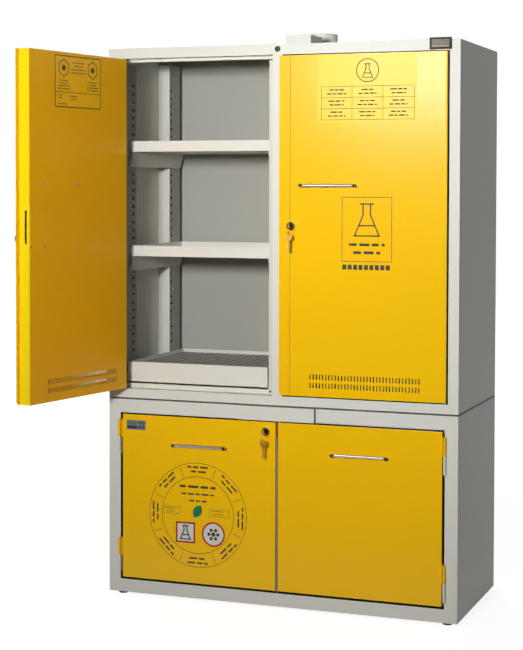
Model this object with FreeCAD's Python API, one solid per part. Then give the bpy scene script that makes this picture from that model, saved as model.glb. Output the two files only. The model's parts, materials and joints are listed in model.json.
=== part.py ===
# Two-part reagent cabinet: ventilated upper cabinet on an under-bench cabinet, upper left door standing open.
# Units mm. Worked from the left side (x = 0), the front face (y = 0) and the body underside (z = 0),
# then moved so the origin is the centre of the underside.
import FreeCAD, Part
import math
import os

os.makedirs("parts", exist_ok=True)

width = 1140.0
depth = 500.0
joint_z = 620.0
joint_gap = 1.5
joint_setback = 12.0
top_z = 1730.0
sheet = 1.5
centre_x = width / 2

# upper front frame and its two openings
upper_stile = 32.0
mullion = 32.0
opening_bottom = 652.0
opening_top = 1698.0
reveal_depth = 38.0
opening_right = centre_x - mullion / 2
lip_drop = 9.5
lip_rise = 14.0

# upper doors, worked out for the left one and mirrored
pivot_x = 42.5
pivot_y = 6.0
nose_r = 8.5
door_bottom = 656.0
door_top = 1695.0
door_free = 563.0
pan_left = 59.5
pan_right = 548.0
door_front = -2.5
pan_back = 35.5
pin_r = 4.0
open_angle = 99.7

# slots in the upper doors
slot_count = 35
slot_pitch = 10.05
slot_first = 119.5
slot_width = 3.6
slot_rows = (682.4, 708.5)
slot_height = 15.6

# handles
bar_r = 5.0
handle_length = 182.0
upper_handle_x = 404.6
upper_handle_z = 1299.0
upper_handle_y = -30.5
lower_handle_y = -28.0
left_handle_x = 313.7
right_handle_x = 837.2
lower_handle_z = 481.0

# locks
upper_lock_x = 523.0
upper_lock_z = 1175.0
lower_lock_x = 536.0
lower_lock_z = 541.0
lock_rim_r = 13.5
barrel_r = 9.0
plug_r = 6.5
cam_width = 16.0
bow_r = 11.0
eye_r = 4.0
eye_offset = 5.5
ring_r = 12.0
ring_wire = 0.8
ring_sag = 2.1
latch_cover_x = (475.0, 546.5)
edge_slot_z = (1127.0, 1224.0)
edge_slot_y = (18.0, 25.0)

# uprights, shelves and sump trays
upright_face = 42.0
hole_long = 16.0
hole_low = 2.95
hole_high = 4.05
hole_pitch = 25.8
hole_top = 1617.0
hole_count = 34
front_upright_y = (39.5, 117.0)
rear_upright_y = (380.0, 466.0)
front_hole_y = 93.0
rear_hole_y = 399.0
shelf_left = 43.5
shelf_front = 60.0
shelf_back = 478.0
shelf_bottoms = (1406.0, 1071.5)
shelf_lip = 34.0
support_drop = 48.0
support_reach = 11.0
peg_r = 2.92
tray_left = 46.5
tray_front = 41.0
tray_back = 488.0
tray_bottom = 671.0
tray_top = 734.0
grid_z = 722.0
grid_hole_r = 7.0
grid_back_gap = 11.0

# exhaust
collar_y = 432.0
collar_r = 50.0
collar_top = 1796.0
duct_hole_r = 48.0
passage_z = 1630.0
box_x = (528.0, 612.0)
box_y = (190.0, 300.0)
box_top = 1775.0

# lower cabinet
lower_open_left = 40.0
lower_open_bottom = 41.0
lower_open_top = 575.5
lower_reveal = 26.0
rail_cover_x = (446.0, 696.0)
rail_cover_front = -14.0
lower_door_left = 48.0
lower_door_free = 566.0
lower_door_bottom = 48.0
lower_door_top = 570.5
lower_door_depth = 21.5
hinge_x = 39.0
hinge_y = -7.0
knuckle_r = 6.5
hinge_pin_r = 3.0
hinge_splits = (499.0, 119.0)
hinge_half = 56.0
post_x = (552.0, 588.0)
post_y = (26.0, 52.0)
post_rib_half = 2.2
post_rib_front = 2.5
post_rib_top = 525.0
catch_slot_z = (494.0, 556.0)

# feet
foot_x = 36.5
foot_y = 30.0
foot_r = 15.0
foot_height = 10.0
stem_r = 5.0


def box(x0, x1, y0, y1, z0, z1):
    corner = FreeCAD.Vector(x0, y0, z0)
    return Part.makeBox(x1 - x0, y1 - y0, z1 - z0, corner)


def rod(radius, length, x, y, z, direction):
    return Part.makeCylinder(radius, length, FreeCAD.Vector(x, y, z), FreeCAD.Vector(*direction))


def upright_rod(radius, x, y, z0, z1):
    return rod(radius, z1 - z0, x, y, z0, (0, 0, 1))


def deep_rod(radius, x, z, y0, y1):
    return rod(radius, y1 - y0, x, y0, z, (0, 1, 0))


def across_rod(radius, x0, x1, y, z):
    return rod(radius, x1 - x0, x0, y, z, (1, 0, 0))


def prism(points, direction):
    vectors = [FreeCAD.Vector(*p) for p in points]
    face = Part.Face(Part.makePolygon(vectors + vectors[:1]))
    return face.extrude(FreeCAD.Vector(*direction))


def fuse(shapes):
    return shapes[0].multiFuse(shapes[1:]).removeSplitter()


def cut(shape, tools):
    return shape.cut(Part.makeCompound(tools)).removeSplitter()


def mirrored(shape):
    return shape.mirror(FreeCAD.Vector(centre_x, 0, 0), FreeCAD.Vector(1, 0, 0))


def both(shape):
    return Part.makeCompound([shape, mirrored(shape)])


def opened(shape):
    turned = shape.copy()
    turned.rotate(FreeCAD.Vector(pivot_x, pivot_y, 0), FreeCAD.Vector(0, 0, 1), -open_angle)
    return turned


def save(name, shape):
    placed = shape.copy()
    placed.translate(FreeCAD.Vector(-centre_x, -depth, 0))
    placed.exportStep("parts/" + name + ".step")


# upper casing

def upper_front_frame():
    left_open = box(upper_stile, opening_right, -1, reveal_depth + 1, opening_bottom, opening_top)
    collar = box(
        upper_stile - sheet, opening_right + sheet, 0, reveal_depth,
        opening_bottom - sheet, opening_top + sheet,
    )
    plate = box(0, width, 0, sheet, joint_z + joint_gap, top_z)
    frame = fuse([plate, collar, mirrored(collar)])
    latch_hole = box(
        opening_right - 1, width - opening_right + 1, edge_slot_y[0] - 1, edge_slot_y[1] + 1,
        edge_slot_z[0] - 2, edge_slot_z[1] + 2,
    )
    plug_hole = deep_rod(6.0, centre_x, 1715.5, -1, sheet + 1)
    return cut(frame, [left_open, mirrored(left_open), latch_hole, plug_hole])


def upper_sides():
    return both(box(0, sheet, sheet, depth, joint_z + joint_gap, top_z))


def upper_top():
    plate = box(sheet, width - sheet, sheet, depth - sheet, top_z - sheet, top_z)
    return cut(plate, [upright_rod(duct_hole_r, centre_x, collar_y, top_z - 5, top_z + 5)])


def upper_bottom():
    # stands back from the front face, so that the joint between the cabinets reads as a dark line
    return box(sheet, width - sheet, joint_setback, depth - sheet, joint_z, joint_z + sheet)


def upper_back():
    return box(sheet, width - sheet, depth - sheet, depth, joint_z + joint_gap, top_z)


def upper_partition():
    panel = box(
        centre_x - sheet / 2, centre_x + sheet / 2, reveal_depth, depth - sheet,
        joint_z + sheet, top_z - sheet,
    )
    passage = box(centre_x - 5, centre_x + 5, collar_y - 60, depth, passage_z, top_z)
    return cut(panel, [passage])


def stop_lips():
    left = upper_stile
    right = opening_right
    y0 = reveal_depth
    lips = [
        box(left, right, y0, y0 + sheet, opening_top - lip_drop, opening_top + 6),
        box(left, right, y0, y0 + sheet, opening_bottom - 6, opening_bottom + lip_rise),
    ]
    return Part.makeCompound(lips + [mirrored(lip) for lip in lips])


def upright(y0, y1, hole_y, z1):
    z0 = joint_z + sheet
    outer = box(sheet, upright_face, y0, y1, z0, z1)
    inner = box(sheet, upright_face - sheet, y0 + sheet, y1 - sheet, z0, z1)
    half = hole_long / 2
    levels = [hole_top - n * hole_pitch for n in range(hole_count)]
    holes = [
        box(upright_face - 5, upright_face + 5, hole_y - half, hole_y + half, z - hole_low, z + hole_high)
        for z in levels
    ]
    return cut(outer.cut(inner), holes)


def uprights():
    # the rear ones by the partition stop short, under the air passage to the collar
    front = upright(front_upright_y[0], front_upright_y[1], front_hole_y, opening_top - 13)
    rear = upright(rear_upright_y[0], rear_upright_y[1], rear_hole_y, opening_top + 7)
    short_rear = upright(rear_upright_y[0], rear_upright_y[1], rear_hole_y, passage_z)
    left = [front, rear, across_centre(front), across_centre(short_rear)]
    return Part.makeCompound(left + [mirrored(shape) for shape in left])


def across_centre(shape):
    # the same upright stood against the partition, facing the other way
    bay_centre = (sheet + centre_x - sheet / 2) / 2
    return shape.mirror(FreeCAD.Vector(bay_centre, 0, 0), FreeCAD.Vector(1, 0, 0))


def bay_right(x):
    return sheet + centre_x - sheet / 2 - x


def shelf(z0):
    right = bay_right(shelf_left)
    outer = box(shelf_left, right, shelf_front, shelf_back, z0, z0 + shelf_lip)
    hollow = box(
        shelf_left + sheet, right - sheet, shelf_front + sheet, shelf_back - sheet,
        z0 + sheet, z0 + shelf_lip + 1,
    )
    return outer.cut(hollow)


def shelves_left():
    return Part.makeCompound([shelf(z) for z in shelf_bottoms])


def shelves_right():
    return mirrored(shelves_left())


def nearest_hole(z):
    return hole_top - round((hole_top - z) / hole_pitch) * hole_pitch


def shelf_support(z0):
    x0 = upright_face
    y0 = shelf_front + 3
    run = (0, shelf_back - 8 - y0, 0)
    low = z0 - support_drop
    skin = 1.6
    outer = prism([(x0, y0, z0), (x0 + support_reach + skin, y0, z0), (x0 + skin, y0, low), (x0, y0, low)], run)
    inner = prism(
        [(x0 + skin, y0 - 1, z0 + 1), (x0 + support_reach, y0 - 1, z0 + 1), (x0 + skin, y0 - 1, low + 6)],
        (0, run[1] + 2, 0),
    )
    peg_z = nearest_hole(z0 - 22)
    pegs = [
        across_rod(peg_r, x0 - 4, x0 + 0.5, hole_y, peg_z)
        for hole_y in (front_hole_y, rear_hole_y)
    ]
    return fuse([outer.cut(inner)] + pegs)


def shelf_supports():
    left = []
    for z in shelf_bottoms:
        rail = shelf_support(z)
        left += [rail, across_centre(rail)]
    return Part.makeCompound(left + [mirrored(rail) for rail in left])


def sump_runners():
    x0 = upright_face
    leg = box(x0, x0 + sheet, tray_front + 6, tray_back - 10, tray_bottom - 14, tray_bottom)
    seat = box(x0, x0 + 20, tray_front + 6, tray_back - 10, tray_bottom - sheet, tray_bottom)
    runner = fuse([leg, seat])
    left = [runner, across_centre(runner)]
    return Part.makeCompound(left + [mirrored(shape) for shape in left])


def sump_tray():
    right = bay_right(tray_left)
    outer = box(tray_left, right, tray_front, tray_back, tray_bottom, tray_top)
    hollow = box(
        tray_left + sheet, right - sheet, tray_front + sheet, tray_back - sheet,
        tray_bottom + sheet, tray_top + 1,
    )
    return outer.cut(hollow)


def sump_grid():
    gap = 1.0
    left = tray_left + sheet + gap
    right = bay_right(left)
    front = tray_front + sheet + gap
    back = tray_back - sheet - grid_back_gap
    outer = box(left, right, front, back, tray_bottom + sheet, grid_z + sheet)
    under = box(left + sheet, right - sheet, front - 1, back + 1, tray_bottom, grid_z)
    holes = []
    columns = 15
    rows = 14
    for i in range(columns):
        for j in range(rows):
            x = left + (right - left) * (i + 0.5) / columns
            y = front + (back - front) * (j + 0.5) / rows
            holes.append(upright_rod(grid_hole_r, x, y, grid_z - 5, grid_z + 5))
    return cut(outer.cut(under), holes)


def exhaust_box():
    outer = box(box_x[0], box_x[1], box_y[0], box_y[1], top_z, box_top)
    inner = box(
        box_x[0] + sheet, box_x[1] - sheet, box_y[0] + sheet, box_y[1] - sheet,
        top_z - 1, box_top - sheet,
    )
    return outer.cut(inner)


def exhaust_collar():
    tube = upright_rod(collar_r, centre_x, collar_y, top_z, collar_top)
    flange = upright_rod(collar_r + 9, centre_x, collar_y, top_z, top_z + 2)
    bore = upright_rod(collar_r - 1.5, centre_x, collar_y, top_z - 1, collar_top + 1)
    return fuse([tube, flange]).cut(bore)


def top_plug():
    head = deep_rod(9.0, centre_x, 1715.5, -4, 0)
    socket = deep_rod(4.5, centre_x, 1715.5, -5, -2)
    stem = deep_rod(5.92, centre_x, 1715.5, -1, 8)
    return fuse([head, stem]).cut(socket)


def door_bumpers():
    z = opening_bottom + 8
    x = opening_right - 20
    return both(deep_rod(4.0, x, z, reveal_depth - 2, reveal_depth))


def status_module():
    body = box(1049.0, 1114.0, -11, 0, 1700.5, 1735.0)
    window = box(1055.0, 1108.0, -12, -9.5, 1706.0, 1729.5)
    return body.cut(window)


def pivot_brackets():
    plate_low = box(upper_stile + 1, pan_left, 1.8, 30, opening_bottom, opening_bottom + 2)
    pin_low = upright_rod(pin_r, pivot_x, pivot_y, opening_bottom, door_bottom + 24)
    plate_high = box(upper_stile + 1, pan_left, 1.8, 30, opening_top - 2, opening_top)
    pin_high = upright_rod(pin_r, pivot_x, pivot_y, door_top - 24, opening_top)
    low = fuse([plate_low, pin_low])
    high = fuse([plate_high, pin_high])
    return Part.makeCompound([low, high, mirrored(low), mirrored(high)])


# upper doors

def vent_slots():
    tools = []
    for z0 in slot_rows:
        for n in range(slot_count):
            x = slot_first + n * slot_pitch
            tools.append(box(x - slot_width / 2, x + slot_width / 2, -5, 40, z0, z0 + slot_height))
    return tools


def upper_skin():
    nose = upright_rod(nose_r, pivot_x, pivot_y, door_bottom, door_top)
    nose_bore = upright_rod(nose_r - sheet, pivot_x, pivot_y, door_bottom - 1, door_top + 1)
    open_side = box(pivot_x, pivot_x + 20, -10, 30, door_bottom - 1, door_top + 1)
    rounded = nose.cut(nose_bore).cut(open_side)
    front = box(pivot_x, door_free, door_front, door_front + sheet, door_bottom, door_top)
    back_y = pivot_y + nose_r
    turn_in = box(pivot_x, pan_left, back_y - sheet, back_y, door_bottom, door_top)
    clipped = prism(
        [(door_free + 1, -5, door_bottom - 1), (door_free + 1, -5, door_bottom + 9),
         (door_free - 9, -5, door_bottom - 1)],
        (0, 6, 0),
    )
    lock_hole = deep_rod(barrel_r + 0.08, upper_lock_x, upper_lock_z, -5, 5)
    return cut(fuse([rounded, front, turn_in]), vent_slots() + [clipped, lock_hole])


def upper_pan():
    front = door_front + sheet
    outer = box(pan_left, pan_right, front, pan_back, door_bottom, door_top)
    hollow = box(
        pan_left + sheet, pan_right - sheet, front - 1, pan_back - sheet,
        door_bottom + sheet, door_top - sheet,
    )
    edge_slot = box(
        pan_right - 5, pan_right + 5, edge_slot_y[0], edge_slot_y[1], edge_slot_z[0], edge_slot_z[1],
    )
    shell = cut(outer.cut(hollow), vent_slots() + [edge_slot])
    blocks = []
    for z0, z1 in ((door_bottom, door_bottom + 30), (door_top - 30, door_top)):
        boss = upright_rod(nose_r - sheet - 0.3, pivot_x, pivot_y, z0, z1)
        web = box(pivot_x, pan_left + sheet, front, pivot_y + nose_r - sheet, z0, z1)
        bore = upright_rod(pin_r + 0.06, pivot_x, pivot_y, z0 - 1, z1 + 1)
        blocks.append(fuse([boss, web]).cut(bore))
    return fuse([shell] + blocks)


def latch_cover():
    x0, x1 = latch_cover_x
    return box(x0, x1, pan_back, pan_back + 1.2, 1113, 1237)


def door_fixings():
    x0, x1 = latch_cover_x
    points = [(x0 + 5, 1118), (x1 - 5, 1118), (x0 + 5, 1232), (x1 - 5, 1232)]
    rivets = []
    for x, z in points:
        head = deep_rod(3.0, x, z, pan_back + 1.2, pan_back + 2.8)
        rivets.append(head)
    bar_ends = (upper_handle_x - handle_length / 2 + bar_r, upper_handle_x + handle_length / 2 - bar_r)
    screws = [deep_rod(4.5, x, upper_handle_z, pan_back, pan_back + 2.4) for x in bar_ends]
    return Part.makeCompound(rivets + screws)


def bow_handle(x, y, z, foot_at):
    x0 = x - handle_length / 2 + bar_r
    x1 = x + handle_length / 2 - bar_r
    bar = across_rod(bar_r, x0, x1, y, z)
    pieces = [bar]
    for end in (x0, x1):
        pieces.append(deep_rod(bar_r, end, z, y, foot_at))
        pieces.append(Part.makeSphere(bar_r, FreeCAD.Vector(end, y, z)))
    return fuse(pieces)


def lock_housing(x, z, front, rear):
    rim = deep_rod(lock_rim_r, x, z, front - 12, front)
    barrel = deep_rod(barrel_r, x, z, front, rear)
    nut = deep_rod(13.0, x, z, front + sheet, front + sheet + 4)
    bore = deep_rod(plug_r + 0.05, x, z, front - 13, rear + 1)
    return fuse([rim, barrel, nut]).cut(bore)


def lock_plug(x, z, front, rear, reach):
    # plug and cam, the cam hanging straight down when unlocked
    plug = deep_rod(plug_r, x, z, front - 11.5, rear + 0.5)
    cam = box(x - cam_width / 2, x + cam_width / 2, rear + 0.5, rear + 3.0, z - reach, z + 9)
    slot = box(x - 1.3, x + 1.3, front - 12.5, front + 6, z - 4.2, z + 4.2)
    return fuse([plug, cam]).cut(slot)


def key(x, y, z, blade_end):
    # blade in the plug, bow upright in front of the lock
    blade = box(x - 1.0, x + 1.0, y, blade_end, z - 3.6, z + 3.6)
    bow = across_rod(bow_r, x - 1.0, x + 1.0, y - 9, z)
    eye = across_rod(eye_r, x - 2, x + 2, y - 9 - eye_offset, z)
    return fuse([blade, bow]).cut(eye)


def spare_key(x, y, z):
    # ring through the eye of the first key at 45 degrees, second key hanging from it face on
    ring_y = y - 9 - eye_offset
    ring_z = z - ring_sag - ring_r
    normal = FreeCAD.Vector(math.sin(math.radians(45)), -math.cos(math.radians(45)), 0)
    ring = Part.makeTorus(ring_r, ring_wire, FreeCAD.Vector(x, ring_y, ring_z), normal)
    eye_z = ring_z - ring_r - ring_sag
    bow_z = eye_z - eye_offset
    bow = deep_rod(bow_r, x, bow_z, ring_y - 1, ring_y + 1)
    eye = deep_rod(eye_r, x, eye_z, ring_y - 2, ring_y + 2)
    blade = box(x - 3.6, x + 3.6, ring_y - 1, ring_y + 1, bow_z - 48, bow_z - 9)
    return Part.makeCompound([fuse([bow, blade]).cut(eye), ring])


# lower cabinet

def lower_front_frame():
    right = width - lower_open_left
    plate = box(0, width, 0, sheet, 0, joint_z)
    collar = box(
        lower_open_left - sheet, right + sheet, 0, lower_reveal,
        lower_open_bottom - sheet, lower_open_top + sheet,
    )
    opening = box(lower_open_left, right, -1, lower_reveal - sheet, lower_open_bottom, lower_open_top)
    back_opening = box(
        lower_open_left, right, 0, lower_reveal + 1, lower_open_bottom + 12, lower_open_top - 12,
    )
    return cut(fuse([plate, collar]), [opening, back_opening])


def lower_sides():
    return both(box(0, sheet, sheet, depth, 0, joint_z))


def lower_back():
    return box(sheet, width - sheet, depth - sheet, depth, 0, joint_z)


def foot_places():
    return [(x, y) for x in (foot_x, width - foot_x) for y in (foot_y, depth - foot_y)]


def lower_bottom():
    plate = box(sheet, width - sheet, sheet, depth - sheet, 0, sheet)
    bosses = [upright_rod(9, x, y, sheet, 12) for x, y in foot_places()]
    holes = [upright_rod(stem_r + 0.06, x, y, -1, 14) for x, y in foot_places()]
    return cut(fuse([plate] + bosses), holes)


def lower_top():
    return box(sheet, width - sheet, sheet, depth - sheet, joint_z - sheet, joint_z)


def rail_cover():
    # folded hood over the middle of the rail, open at the back
    x0, x1 = rail_cover_x
    z0 = lower_open_top + 0.5
    z1 = joint_z - 1
    outer = box(x0, x1, rail_cover_front, 0, z0, z1)
    inner = box(x0 + sheet, x1 - sheet, rail_cover_front + sheet, 1, z0 + sheet, z1 - sheet)
    return outer.cut(inner)


def lower_post():
    z0 = lower_open_bottom
    z1 = lower_open_top
    outer = box(post_x[0], post_x[1], post_y[0], post_y[1], z0, z1)
    inner = box(post_x[0] + sheet, post_x[1] - sheet, post_y[0] + sheet, post_y[1] + 1, z0 - 1, z1 + 1)
    # the cam goes in through this slot and stands behind the front face
    catch = box(post_x[0] - 1, post_x[0] + 2, post_y[0] + 2, post_y[0] + 12, catch_slot_z[0], catch_slot_z[1])
    x0 = centre_x - post_rib_half
    x1 = centre_x + post_rib_half
    flange_y = lower_reveal - sheet
    rib = box(x0, x1, post_rib_front, flange_y - 0.1, z0 + 0.3, post_rib_top)
    root = box(x0, x1, flange_y - 0.1, post_y[0] + 0.5, z0 + 12.5, post_rib_top)
    return fuse([cut(outer, [inner, catch]), rib, root])


def lower_door_panel(lock):
    outer = box(lower_door_left, lower_door_free, 0, lower_door_depth, lower_door_bottom, lower_door_top)
    hollow = box(
        lower_door_left + sheet, lower_door_free - sheet, sheet, lower_door_depth - sheet,
        lower_door_bottom + sheet, lower_door_top - sheet,
    )
    panel = outer.cut(hollow)
    if lock:
        hole = deep_rod(barrel_r + 0.08, lower_lock_x, lower_lock_z, -5, lower_door_depth + 5)
        panel = panel.cut(hole)
    return panel


def hinge_frame_halves():
    halves = []
    for split in hinge_splits:
        knuckle = upright_rod(knuckle_r, hinge_x, hinge_y, split - hinge_half, split)
        leaf = box(lower_open_left, lower_open_left + 2, hinge_y, 18, split - hinge_half, split)
        pin = upright_rod(hinge_pin_r, hinge_x, hinge_y, split - 1, split + hinge_half - 4)
        halves.append(fuse([knuckle, leaf, pin]))
    return Part.makeCompound(halves + [mirrored(half) for half in halves])


def hinge_door_halves():
    halves = []
    for split in hinge_splits:
        z0 = split + 0.5
        z1 = split + hinge_half
        knuckle = upright_rod(knuckle_r, hinge_x, hinge_y, z0, z1)
        leaf = box(lower_door_left - 3.2, lower_door_left, hinge_y, 18, z0, z1)
        bore = upright_rod(hinge_pin_r + 0.06, hinge_x, hinge_y, z0 - 1, z1 - 3)
        halves.append(fuse([knuckle, leaf]).cut(bore))
    return Part.makeCompound(halves)


def feet():
    out = []
    for x, y in foot_places():
        pad = upright_rod(foot_r, x, y, -foot_height, -1)
        stem = upright_rod(stem_r, x, y, -1, 36)
        out.append(fuse([pad, stem]))
    return Part.makeCompound(out)


def build_upper_casing():
    save("upper_front_frame", upper_front_frame())
    save("upper_sides", upper_sides())
    save("upper_top", upper_top())
    save("upper_bottom", upper_bottom())
    save("upper_back", upper_back())
    save("upper_partition", upper_partition())
    save("stop_lips", stop_lips())
    save("uprights", uprights())
    save("shelves_left", shelves_left())
    save("shelves_right", shelves_right())
    save("shelf_supports", shelf_supports())
    save("sump_runners", sump_runners())
    save("sump_tray_left", sump_tray())
    save("sump_tray_right", mirrored(sump_tray()))
    save("sump_grid_left", sump_grid())
    save("sump_grid_right", mirrored(sump_grid()))
    save("exhaust_box", exhaust_box())
    save("exhaust_collar", exhaust_collar())
    save("top_plug", top_plug())
    save("door_bumpers", door_bumpers())
    save("status_module", status_module())
    save("pivot_brackets", pivot_brackets())


def build_upper_doors():
    lock_rear = 18.0
    reach = 45.0
    handle = bow_handle(upper_handle_x, upper_handle_y, upper_handle_z, door_front)
    housing = lock_housing(upper_lock_x, upper_lock_z, door_front, lock_rear)
    plug = lock_plug(upper_lock_x, upper_lock_z, door_front, lock_rear + 1.0, reach)
    key_y = door_front - 13.5
    parts = {
        "skin": upper_skin(),
        "pan": upper_pan(),
        "handle": handle,
        "cover": latch_cover(),
        "fixings": door_fixings(),
        "lock": housing,
        "plug": plug,
        "key": key(upper_lock_x, key_y, upper_lock_z, door_front + 5),
        "spare_key": spare_key(upper_lock_x, key_y, upper_lock_z),
    }
    for name, shape in parts.items():
        save("ul_" + name, opened(shape))
        save("ur_" + name, mirrored(shape))


def build_lower_cabinet():
    save("lower_front_frame", lower_front_frame())
    save("lower_sides", lower_sides())
    save("lower_back", lower_back())
    save("lower_bottom", lower_bottom())
    save("lower_top", lower_top())
    save("rail_cover", rail_cover())
    save("lower_post", lower_post())
    save("hinge_frame_halves", hinge_frame_halves())
    save("feet", feet())


def build_lower_doors():
    save("ll_panel", lower_door_panel(True))
    save("lr_panel", mirrored(lower_door_panel(False)))
    save("ll_hinge_halves", hinge_door_halves())
    save("lr_hinge_halves", mirrored(hinge_door_halves()))
    save("ll_handle", bow_handle(left_handle_x, lower_handle_y, lower_handle_z, 0))
    save("lr_handle", bow_handle(right_handle_x, lower_handle_y, lower_handle_z, 0))
    lock_rear = lower_door_depth + 6
    save("ll_lock", lock_housing(lower_lock_x, lower_lock_z, 0, lock_rear))
    save("ll_plug", lock_plug(lower_lock_x, lower_lock_z, 0, lock_rear + 1.0, 46.0))
    key_y = -13.5
    save("ll_key", key(lower_lock_x, key_y, lower_lock_z, 5))
    save("ll_spare_key", spare_key(lower_lock_x, key_y, lower_lock_z))


build_upper_casing()
build_upper_doors()
build_lower_cabinet()
build_lower_doors()
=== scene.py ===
import json
import math

import bpy
from mathutils import Matrix, Vector


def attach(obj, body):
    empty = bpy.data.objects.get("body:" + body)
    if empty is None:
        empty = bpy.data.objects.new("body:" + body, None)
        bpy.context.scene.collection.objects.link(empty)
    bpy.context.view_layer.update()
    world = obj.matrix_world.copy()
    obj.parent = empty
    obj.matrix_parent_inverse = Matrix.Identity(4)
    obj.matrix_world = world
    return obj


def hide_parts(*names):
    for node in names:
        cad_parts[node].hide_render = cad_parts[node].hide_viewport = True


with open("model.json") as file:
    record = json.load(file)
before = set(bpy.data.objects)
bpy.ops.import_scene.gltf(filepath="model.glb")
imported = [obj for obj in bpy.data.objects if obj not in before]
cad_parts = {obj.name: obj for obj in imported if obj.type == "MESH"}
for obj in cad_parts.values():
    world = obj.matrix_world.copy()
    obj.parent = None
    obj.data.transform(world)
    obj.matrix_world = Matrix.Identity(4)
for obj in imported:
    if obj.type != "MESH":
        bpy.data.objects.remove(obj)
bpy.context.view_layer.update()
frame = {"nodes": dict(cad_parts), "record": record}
cadNodes = frame["nodes"]
print("frame loaded:", len(cadNodes), "nodes")

# Everything is in millimetres: x from the cabinet's left side, y from its front face, z from its underside.
cabinet = {"width": 1140.0, "depth": 500.0, "top": 1730.0, "floor": -10.0}
upperDoor = {"pivot": (42.5, 6.0), "openAngle": 99.7, "front": -2.5, "back": 35.5, "free": 563.0}
lowerDoor = {"left": 48.0, "top": 570.5}


def spot(x, y, z):
    return Vector(((x - cabinet["width"] / 2) / 1000, (y - cabinet["depth"]) / 1000, z / 1000))


def backTo(point):
    return point.x * 1000 + cabinet["width"] / 2, point.y * 1000 + cabinet["depth"], point.z * 1000


# finishes

def setInputs(owner, node, inputs):
    # owner is a material or the world; each input takes a constant or another node's output
    for socket, value in inputs.items():
        if isinstance(value, bpy.types.NodeSocket):
            owner.node_tree.links.new(value, node.inputs[socket])
        else:
            node.inputs[socket].default_value = value


def addNode(owner, kind, inputs, **settings):
    node = owner.node_tree.nodes.new("ShaderNode" + kind)
    for key, value in settings.items():
        setattr(node, key, value)
    setInputs(owner, node, inputs)
    return node


def objectPlace(owner):
    return addNode(owner, "TexCoord", {}).outputs["Object"]


def noiseOver(owner, scale, detail=2.0, stretch=(1, 1, 1)):
    mapping = addNode(owner, "Mapping", {"Vector": objectPlace(owner), "Scale": stretch})
    inputs = {"Vector": mapping.outputs["Vector"], "Scale": scale, "Detail": detail}
    return addNode(owner, "TexNoise", inputs).outputs["Fac"]


def spread(owner, factor, low, high, fromLow=0.3, fromHigh=0.7):
    inputs = {"Value": factor, "From Min": fromLow, "From Max": fromHigh, "To Min": low, "To Max": high}
    return addNode(owner, "MapRange", inputs).outputs["Result"]


def mixColours(owner, factor, first, second):
    first, second = ((*value, 1) if isinstance(value, tuple) else value for value in (first, second))
    return addNode(owner, "Mix", {0: factor, 6: first, 7: second}, data_type="RGBA").outputs[2]


def bumpOver(owner, height, distance, strength, **under):
    inputs = {"Height": height, "Distance": distance, "Strength": strength, **under}
    return addNode(owner, "Bump", inputs).outputs["Normal"]


def newFinish(name, colour, roughness, metallic=0.0):
    material = bpy.data.materials.new(name)
    material.use_nodes = True
    shader = material.node_tree.nodes["Principled BSDF"]
    setInputs(material, shader, {"Base Color": (*colour, 1), "Roughness": roughness, "Metallic": metallic})
    return material, shader


coat = {"cloudScale": 2.3, "speckShade": 0.84, "smoother": 0.06, "rougher": 0.08, "grainBump": 0.8}


def powderCoat(name, colour, shade, roughness=0.48, grain=520, height=0.00010,
               speck=0.3, specular=0.3, wave=0.35):
    material, shader = newFinish(name, colour, roughness)
    cloudy = spread(material, noiseOver(material, coat["cloudScale"], 3.0), 0.0, 1.0)
    fine = spread(material, noiseOver(material, grain, 3.0), 0.0, speck, 0.35, 0.75)
    dark = tuple(coat["speckShade"] * value for value in shade)
    low, high = roughness - coat["smoother"], roughness + coat["rougher"]
    wavy = bumpOver(material, noiseOver(material, grain / 3), 1.5 * height, wave)
    setInputs(material, shader, {
        "Specular IOR Level": specular,
        "Base Color": mixColours(material, fine, mixColours(material, cloudy, colour, shade), dark),
        "Roughness": spread(material, noiseOver(material, grain / 2), low, high),
        "Normal": bumpOver(material, noiseOver(material, grain, 3.0), height,
                           coat["grainBump"], Normal=wavy)})
    return material


brushing = {"scale": 900.0, "wornScale": 60.0, "bump": 0.00002, "strength": 0.5}


def brushedMetal(name, colour, shade, roughness, stretch, wear=0.12):
    material, shader = newFinish(name, colour, roughness, metallic=1.0)
    lines = noiseOver(material, brushing["scale"], 3.0, stretch)
    worn = noiseOver(material, brushing["wornScale"], 4.0)
    setInputs(material, shader, {
        "Base Color": mixColours(material, spread(material, lines, 0.0, 1.0), colour, shade),
        "Roughness": spread(material, worn, roughness - wear / 2, roughness + wear),
        "Normal": bumpOver(material, lines, brushing["bump"], brushing["strength"])})
    return material


moulding = {"cloudScale": 35.0, "wornScale": 90.0, "grain": 700.0, "bump": 0.00006, "strength": 0.5}


def mouldedPlastic(name, colour, shade, roughness):
    material, shader = newFinish(name, colour, roughness)
    cloudy = spread(material, noiseOver(material, moulding["cloudScale"], 3.0), 0.0, 1.0)
    worn, grain = noiseOver(material, moulding["wornScale"]), noiseOver(material, moulding["grain"])
    setInputs(material, shader, {
        "Base Color": mixColours(material, cloudy, colour, shade),
        "Roughness": spread(material, worn, roughness - 0.05, roughness + 0.1),
        "Normal": bumpOver(material, grain, moulding["bump"], moulding["strength"])})
    return material


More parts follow.
